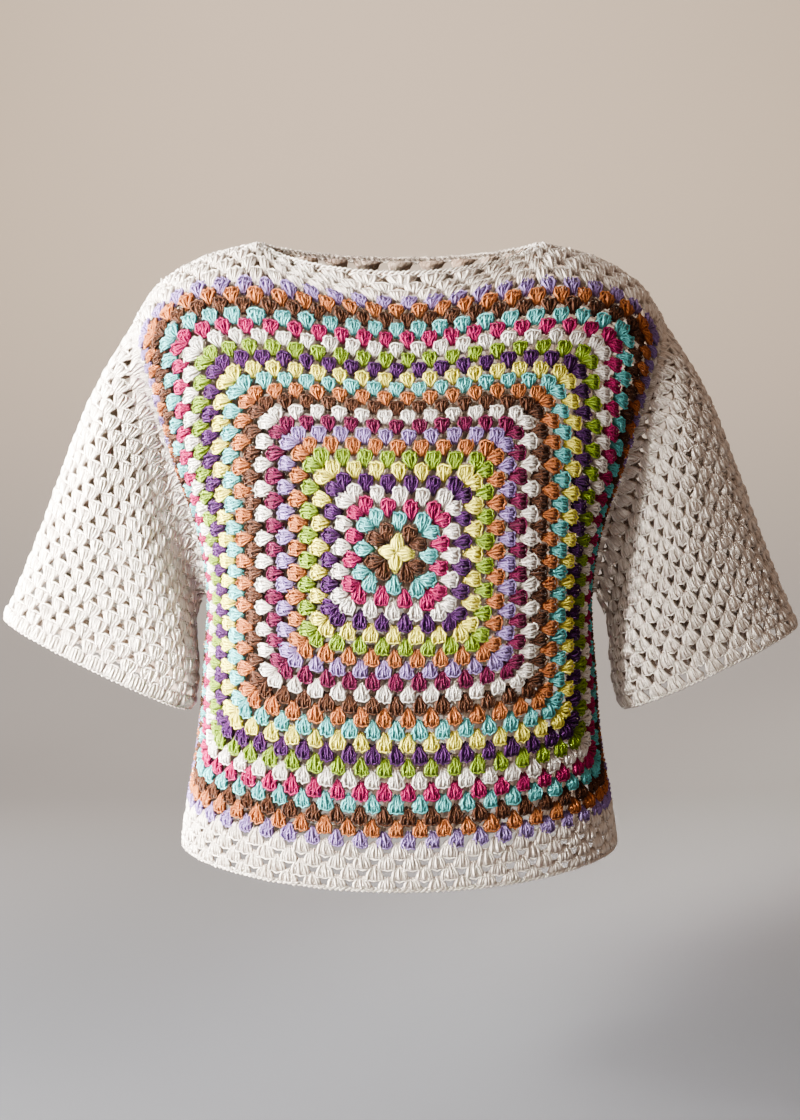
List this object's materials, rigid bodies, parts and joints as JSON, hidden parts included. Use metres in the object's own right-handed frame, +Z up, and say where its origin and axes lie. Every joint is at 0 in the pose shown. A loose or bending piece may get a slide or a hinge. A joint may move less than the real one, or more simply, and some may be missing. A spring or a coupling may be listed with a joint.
{
  "type": "crocheted cotton top",
  "caption": "Boxy crocheted top in cream cotton, its front one large granny square worked in bands of colour, with a wide boat neck and open elbow-length sleeves",
  "frame": {"origin": "midway between the two points where the neckline meets the shoulder seams, at their height", "axes": "+X to the viewer's right as the front is seen, +Y towards the wearer's back, +Z up"},
  "size_m": [0.6834, 0.2289, 0.537],
  "materials": {
    "cream_cotton": "matt plied cotton yarn",
    "coloured_cotton": "matt plied cotton yarn in many colours"
  },
  "bodies": {
    "root": {"front": "coloured_cotton", "back": "cream_cotton", "sleeve_left": "cream_cotton", "sleeve_right": "cream_cotton", "neck_edging": "cream_cotton", "hem_edging": "cream_cotton", "cuff_edging_left": "cream_cotton", "cuff_edging_right": "cream_cotton"}
  },
  "joints": []
}
